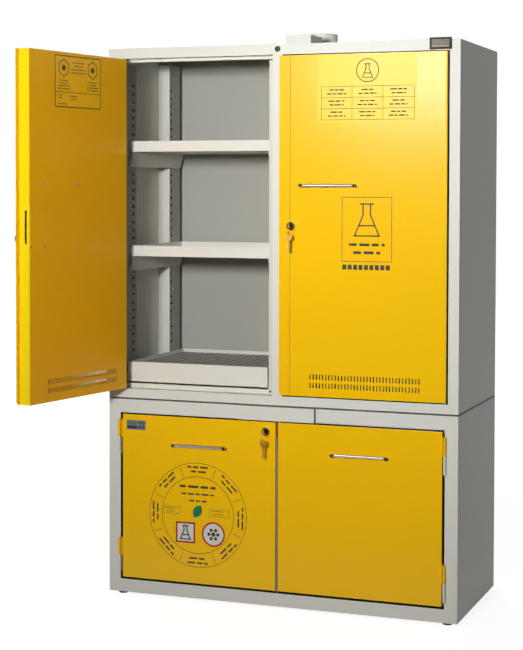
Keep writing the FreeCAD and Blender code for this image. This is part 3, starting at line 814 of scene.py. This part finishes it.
# the left lower door: two circles with print between them, a leaf, and two badges
dial = {"x": 306.5, "z": 264.0, "outer": 165.0, "inner": 122.0, "line": 1.6, "sectors": 8, "margin": 8,
        "rings": ((151.0, 70), (137.0, 56)), "boxes": ((190.0, 246.0), (346.0, 412.0))}
x0, z0, rule = dial["x"], dial["z"], dial["line"]
faces = [roundFace(x0, z0, dial[ring], 0, dial[ring] - rule, steps)
         for ring, steps in (("outer", 96), ("inner", 80))]
for n in range(dial["sectors"]):
    angle = 2 * math.pi * n / dial["sectors"]
    for radius, long in dial["rings"]:
        x, z = x0 + radius * math.cos(angle), z0 + radius * math.sin(angle)
        faces += printRow(x, z, long, 9.0, 0, angle + math.pi / 2)
    angle += math.pi / dial["sectors"]
    ends = [(x0 + radius * math.cos(angle), z0 + radius * math.sin(angle))
            for radius in (dial["inner"] + dial["margin"], dial["outer"] - dial["margin"])]
    faces.append(line(*ends, rule, 0))
faces += printGroup(x0, z0 + 95, (122,), 12, 22, 0) + printGroup(x0, z0 + 70, (110, 58), 8.5, 21, 0)
for left, right in dial["boxes"]:
    faces += frameLines(left, 264, right, 286, 1.0, 0)
    faces += printGroup((left + right) / 2 - 5, 282, (right - left - 20, right - left - 30), 3.4, 9, 0)
inkLayer("lower_left_dial", "ll_door", faces)

badgeWhite = mouldedPlastic("paleBadgeFilm", (0.72, 0.71, 0.66), (0.68, 0.67, 0.62), 0.4)
badgeRed = mouldedPlastic("redBadgeInk", (0.50, 0.020, 0.018), (0.42, 0.016, 0.015), 0.4)
leafGreen = mouldedPlastic("greenLeafInk", (0.006, 0.20, 0.085), (0.005, 0.16, 0.07), 0.4)
badge = {"round": (360.0, 207.0, 39.0), "square": (265.0, 207.0, 33.0), "rim": 5.5, "dots": 6, "dotRing": 15}
(roundX, z, radius), (x, z, half), rim = badge["round"], badge["square"], badge["rim"]
backs = [roundFace(roundX, z, radius, 0), block(x - half, z - half, x + half, z + half, 0)]
layer("badge_backs", "ll_door", backs, badgeWhite, kind="film")
overBadge = -marks["film"]
inset = half - rim / 2
borders = [roundFace(roundX, z, radius, overBadge, radius - rim)]
borders += frameLines(x - inset, z - inset, x + inset, z + inset, rim, overBadge)
layer("badge_borders", "ll_door", borders, badgeRed)
dots = []
for n in range(badge["dots"]):
    angle = 2 * math.pi * n / badge["dots"]
    dotX, dotZ = roundX + badge["dotRing"] * math.cos(angle), z + badge["dotRing"] * math.sin(angle)
    dots.append(roundFace(dotX, dotZ, 5.5, overBadge, steps=16))
dots += [roundFace(roundX, z, 7, overBadge, steps=20)] + flask(x, z, 42, 4.0, overBadge)
inkLayer("badge_marks", "ll_door", dots)

# a disc drawn out to a pointed leaf
leaf = {"place": (306, 0, 276), "length": 46, "width": 30, "turn": 60}
face = roundFace(0, 0, leaf["length"] / 2, 0, steps=24)
turn = Matrix.Rotation(math.radians(-leaf["turn"]), 3, "Y")
for vertex in face.data.vertices:
    point = vertex.co - spot(0, 0, 0)
    pointed = max(0.0, 1 - (2000 * point.x / leaf["length"]) ** 2) ** 0.5
    point.z *= leaf["width"] / leaf["length"] * pointed
    vertex.co = spot(*leaf["place"]) + turn @ point
layer("green_leaf", "ll_door", [face], leafGreen)

# short pale rows and a longer strip on the status module
rows = {"spans": ((1056, 1086, 1728.6), (1056, 1100, 1723.4), (1056, 1107, 1718.2), (1092, 1107, 1728.6),
                  (1104, 1107, 1723.4)), "tall": 2.6, "strip": (1056, 1707.5, 1107, 1711.5)}
moduleFront, tall = module["faceFront"], rows["tall"]
faces = [block(left, top - tall, right, top, moduleFront) for left, right, top in rows["spans"]]
paleRows = mouldedPlastic("paleModuleRows", (0.260, 0.255, 0.215), (0.225, 0.220, 0.185), 0.65)
layer("status_module_rows", "cabinet", faces, paleRows, "module_plastic")
amber = mouldedPlastic("amberModuleStrip", (0.42, 0.37, 0.24), (0.36, 0.32, 0.20), 0.65)
layer("status_module_strip", "cabinet", [block(*rows["strip"], moduleFront)], amber, "module_plastic")

ratingPlate = {"low": (61.0, -0.8, 522.0), "high": (128.0, 0, 553.0), "cell": (65, 537, 98, 549),
               "bar": (64, 524.5, 99, 535), "ringX": (107.5, 119.5), "ringZ": (531.0, 544.5)}
plateGrey = mouldedPlastic("greyPlateFace", (0.235, 0.25, 0.275), (0.20, 0.215, 0.24), 0.42)
plateDark = mouldedPlastic("darkPlateInk", (0.022, 0.028, 0.050), (0.03, 0.038, 0.06), 0.45)
plateGreen = mouldedPlastic("dullGreenCell", (0.12, 0.20, 0.13), (0.10, 0.17, 0.11), 0.45)
plateFront = ratingPlate["low"][1]
face = plate(ratingPlate["low"], ratingPlate["high"], 0.3)
fit(face, "rating_plate", "ll_door", "module_plastic", smooth=20, finish=plateGrey)
faces = [block(*ratingPlate["cell"], plateFront)]
layer("rating_plate_cell", "ll_door", faces, plateGreen, "module_plastic")
faces = [block(*ratingPlate["bar"], plateFront)]
faces += [roundFace(x, z, 5.4, plateFront, 2.0, 20)
          for x in ratingPlate["ringX"] for z in ratingPlate["ringZ"]]
layer("rating_plate_marks", "ll_door", faces, plateDark, "module_plastic")
print("printed marks made")

# sheet metal with softened folds

# where the near-black painted shade goes: the reveals of the lower and upper door openings, the joint band
# between the cabinets, the vent band, and the largest face counted as a slot's cut edge
shadeZones = {"lower": (38.8, 1101.2, 39.8, 576.7), "upper": (584.8, 1109.2, 650.8, 1699.2),
        "jointBand": (618.4, 623.4), "ventBand": (675.0, 735.0), "cutEdge": 0.00003}
# painted shade: a near-black finish for the shade in joints, gaps, slots and closed-in hollows
paintedShadeBlack = mouldedPlastic("nearBlackPaintedShade", (0.012, 0.012, 0.011), (0.020, 0.019, 0.018), 0.8)
jointSheets = ("upper_front_frame", "lower_front_frame", "upper_sides", "lower_sides")


def inBand(face, low, high):
    return low < backTo(face.center)[2] < high


def inJoint(face):
    return inBand(face, *shadeZones["jointBand"])


def reveal(face, opening):
    # the folded-in sides of an opening, seen through the gap round its door; they take painted shade
    left, right, low, high = opening
    x, y, z = backTo(face.center)
    return abs(face.normal.y) < 0.5 and y > 0.4 and left < x < right and low < z < high


def smallWall(face, across):
    # the cut edge of a hole or slot whose axis runs across the sheet
    return abs(face.normal.dot(across)) < 0.6 and face.area < shadeZones["cutEdge"]


def softened(node, body, width, others=(), pick=None, finish=None):
    # the folded sheet itself, its sharp corners eased; pick gives the number of the finish on a face
    sheet = copied(cadNodes[node])
    pickOut(sheet)
    startEdit()
    bpy.ops.mesh.remove_doubles(threshold=weld)
    bpy.ops.mesh.dissolve_limited(angle_limit=math.radians(0.5))
    # sheets at the joint are cut along the edges of the band that takes the painted shade
    if node in jointSheets:
        for z in shadeZones["jointBand"]:
            selectAll()
            bpy.ops.mesh.bisect(plane_co=spot(0, 0, z), plane_no=(0, 0, 1))
    toMode("OBJECT")
    if width:
        rounded(sheet, width)
    sheet.data.materials.clear()
    for each in (finish or finishes[slotOf[node]], *others):
        sheet.data.materials.append(each)
    if pick:
        for face in sheet.data.polygons:
            face.material_index = int(pick(face))
    fit(sheet, node + "_sheet", body, slotOf[node], [node], smooth=20)


eased = {"upper_front_frame": 0.6, "lower_front_frame": 0.6, "upper_sides": 0.6, "lower_sides": 0.6,
         "upper_top": 0.5, "rail_cover": 0.4, "exhaust_box": 0.6, "stop_lips": 0.4,
         "shelves_left": 0.6, "shelves_right": 0.6, "shelf_supports": 0.4}
# painted shade: near-black on the joint band between the cabinets, on the reveals round the door openings,
# and on the rail cover's end face
darkFaces = {"upper_front_frame": lambda face: inJoint(face) or reveal(face, shadeZones["upper"]),
             "lower_front_frame": lambda face: inJoint(face) or reveal(face, shadeZones["lower"]),
             "upper_sides": inJoint, "lower_sides": inJoint, "rail_cover": lambda face: face.normal.x > 0.8}
for node, width in eased.items():
    softened(node, "cabinet", width, [paintedShadeBlack], darkFaces.get(node))


def doorSides(side):
    # towards the free edge and the front of an upper door as it stands, and its pivot
    turn = math.radians(-upperDoor["openAngle"]) if side == "ul" else 0.0
    free = Vector((math.cos(turn), math.sin(turn), 0)) * (1 if side == "ul" else -1)
    front = Vector((math.sin(turn), -math.cos(turn), 0))
    pivotX, pivotY = upperDoor["pivot"]
    return free, front, spot(pivotX if side == "ul" else cabinet["width"] - pivotX, pivotY, 0)


doorEdges = {"hingeSide": -0.004, "freeSide": 0.495}  # metres from the pivot towards the free edge


def skinShadePick(side):
    # painted shade: 1, near-black, on the rounded hinge edge, where it turns in beside the stile, and in the
    # vent slots
    free, front, pivot = doorSides(side)

    def paintedLightAndShadeOf(face):
        atHinges = (face.center - pivot).dot(free) < doorEdges["hingeSide"] and face.normal.dot(free) < -0.6
        return atHinges or smallWall(face, front) and inBand(face, *shadeZones["ventBand"])
    return paintedLightAndShadeOf


def panLightAndShadePick(side):
    # 1, a painted highlight in paler yellow, on the narrow side that faces away from the hinges; 2,
    # near-black painted shade, in the vent slots and inside the door
    free, front, pivot = doorSides(side)

    def paintedLightAndShadeOf(face):
        if face.normal.dot(front) > 0.9 or smallWall(face, front) and inBand(face, *shadeZones["ventBand"]):
            return 2
        return face.normal.dot(free) > 0.8 and (face.center - pivot).dot(free) > doorEdges["freeSide"]
    return paintedLightAndShadeOf


# painted shade: the lower doors' top faces, in the gap under the rail cover, are near-black
def shadedDoorTop(face):
    return face.normal.z > 0.9 and backTo(face.center)[2] > lowerDoor["top"] - 2.5


# painted light: a paler yellow on the open door's free edge, for the stronger light that edge catches
litEdgeCoat = powderCoat("yellowEdgePaintedLight", (0.985, 0.740, 0.0060), (0.965, 0.720, 0.0045),
                       0.30, 330, 0.00030, 0.22, 0.25, 0.12)
for side in ("ul", "ur"):
    softened(side + "_skin", side + "_door", 0.6, [paintedShadeBlack], skinShadePick(side))
    softened(side + "_pan", side + "_door", 0.6, [litEdgeCoat, paintedShadeBlack], panLightAndShadePick(side), shadedPanCoat)
for side in ("ll", "lr"):
    softened(side + "_panel", side + "_door", 0.8, [paintedShadeBlack], shadedDoorTop)
for side in ("left", "right"):
    softened("sump_tray_" + side, "sump_" + side, 0.5)

# painted shade: a darker grey for the shade on the uprights' slotted faces
shadedSlotFaceCoat = powderCoat("shadedUprightCoat", (0.40, 0.395, 0.36), (0.37, 0.365, 0.335))
uprights = {"sides": (39.5, 117.0, 380.0, 466.0), "bayCentre": 285.4}


def uprightShadePick(face):
    # painted shade: 1, near-black, on the closed-in faces of a channel, seen through its slots; 2, a darker
    # grey, on its slotted face
    x, y, z = backTo(face.center)
    width, nearCentre = cabinet["width"], uprights["bayCentre"]
    bayCentre = nearCentre if x < width / 2 else width - nearCentre
    if abs(face.normal.x) > 0.9:
        return 2 if (bayCentre - x) * face.normal.x > 0 else 1
    if abs(face.normal.y) > 0.9 and face.area > shadeZones["cutEdge"]:
        return all(abs(y - side) > 0.5 for side in uprights["sides"])
    return 0


softened("uprights", "cabinet", None, [paintedShadeBlack, shadedSlotFaceCoat], uprightShadePick)
# painted shade: the walls of the holes in the sump grids are near-black
for side in ("left", "right"):
    softened("sump_grid_" + side, "sump_" + side, None, [paintedShadeBlack],
             lambda face: smallWall(face, Vector((0, 0, 1))))
# painted shade: the back panel's inner face takes a darker grey for the dimmer light at the back of the bays
shadedBackCoat = powderCoat("greyBackPaintedShade", (0.435, 0.430, 0.385), (0.415, 0.410, 0.368))
softened("upper_back", "cabinet", None, [shadedBackCoat], lambda face: face.normal.y < -0.5)
# painted shade: the post between the lower doors is darker for the shade in the gap
paintedShadePost = powderCoat("shadedPostCoat", (0.27, 0.235, 0.225), (0.25, 0.22, 0.21), height=0.00008)
cadNodes["lower_post"].data.materials[0] = paintedShadePost
print("sheets softened")

# camera, lights and floor

camera = {"place": (2260.1, -4637.2, 1297.5), "turn": 20.584, "dip": 1.921, "roll": 0.127,
          "lens": 89.284, "shift": -0.1308}


def aimedCamera():
    turn, dip, roll = (math.radians(camera[key]) for key in ("turn", "dip", "roll"))
    data = bpy.data.cameras.new("camera")
    data.lens, data.shift_y = camera["lens"], camera["shift"]
    eye = bpy.context.scene.camera = shown("camera", data)
    eye.matrix_world = Matrix.Translation(spot(*camera["place"]))
    for angle, axis in ((turn, "Z"), (math.pi / 2 - dip, "X"), (roll, "Z")):
        eye.matrix_world @= Matrix.Rotation(angle, 4, axis)


studio = {"surround": 0.118, "rearGlow": 2.2, "rearFrom": (-0.55, 0.75, 0.37), "rearEdge": (0.84, 0.95),
          "mirrored": (-0.25, 0.15), "floorMirrored": (-1.3, -0.6),
          "floorSize": 24.0, "floorNear": 0.86, "floorFade": (1.5, 4.0), "floorColour": 0.42}
keyLamp = {"place": (800.0, -4280.0, 1701.0), "aim": (750.0, 0.0, 1780.0), "size": (0.5, 0.4),
           "power": 33.5, "spread": 78.0}
sheenLamp = {"place": (580.0, -2000.0, 1900.0), "aim": (570.0, 250.0, 1000.0), "size": (0.95, 0.6),
             "power": 44.5, "spread": 180.0}


def lampOf(name, lamp):
    data = bpy.data.lights.new(name, "AREA")
    data.shape = "RECTANGLE"
    data.size, data.size_y = lamp["size"]
    data.energy = lamp["power"]
    data.spread = math.radians(lamp["spread"])
    light = shown(name, data)
    place, aim = spot(*lamp["place"]), spot(*lamp["aim"])
    light.location = place
    light.rotation_euler = (aim - place).to_track_quat("-Z", "Y").to_euler()
    return light


def clamped(owner, operation, first, second):
    return addNode(owner, "Math", {0: first, 1: second}, operation=operation, use_clamp=True).outputs[0]


def seenRays(owner, low, high):
    # 1 on camera rays, and on mirror and glass rays towards the backdrop; 0 on light that reaches the cabinet
    rays = addNode(owner, "LightPath", {}).outputs
    parts = addNode(owner, "SeparateXYZ", {0: objectPlace(owner)}).outputs
    behind = spread(owner, parts["Y"], 0.0, 1.0, low, high)
    mirrored = clamped(owner, "ADD", rays["Is Glossy Ray"], rays["Is Transmission Ray"])
    return clamped(owner, "ADD", rays["Is Camera Ray"], clamped(owner, "MULTIPLY", mirrored, behind))


def whiteSurround():
    world = bpy.data.worlds.new("white surround")
    bpy.context.scene.world = world
    world.use_nodes = True
    # a soft patch of light behind and to the left, for the back
    inputs = {0: objectPlace(world), 1: studio["rearFrom"]}
    along = addNode(world, "VectorMath", inputs, operation="DOT_PRODUCT").outputs["Value"]
    patch = spread(world, along, studio["surround"], studio["rearGlow"], *studio["rearEdge"])
    strength = spread(world, seenRays(world, *studio["mirrored"]), patch, 1.0, 0.0, 1.0)
    setInputs(world, world.node_tree.nodes["Background"], {"Color": (1, 1, 1, 1), "Strength": strength})


def paleFloor():
    bpy.ops.mesh.primitive_plane_add(size=studio["floorSize"], location=spot(570, 250, cabinet["floor"]))
    floor = bpy.context.active_object
    floor.name = "floor"
    material, shader = newFinish("paleFloor", [studio["floorColour"]] * 3, 0.9)
    length = addNode(material, "VectorMath", {0: objectPlace(material)}, operation="LENGTH").outputs["Value"]
    away = spread(material, length, studio["floorNear"], 1.0, *studio["floorFade"])
    glow = clamped(material, "MULTIPLY", away, seenRays(material, *studio["floorMirrored"]))
    setInputs(material, shader, {
        "Specular IOR Level": 0.0, "Emission Color": (1, 1, 1, 1), "Emission Strength": glow})
    floor.data.materials.append(material)


bpy.ops.object.select_all(action="DESELECT")
aimedCamera()
lampOf("key lamp", keyLamp).visible_glossy = False
lampOf("sheen lamp", sheenLamp).visible_diffuse = False  # shows only as gloss on the doors and metal
whiteSurround()
paleFloor()
bpy.context.scene.view_settings.view_transform = "Standard"
print("camera, light and floor ready")
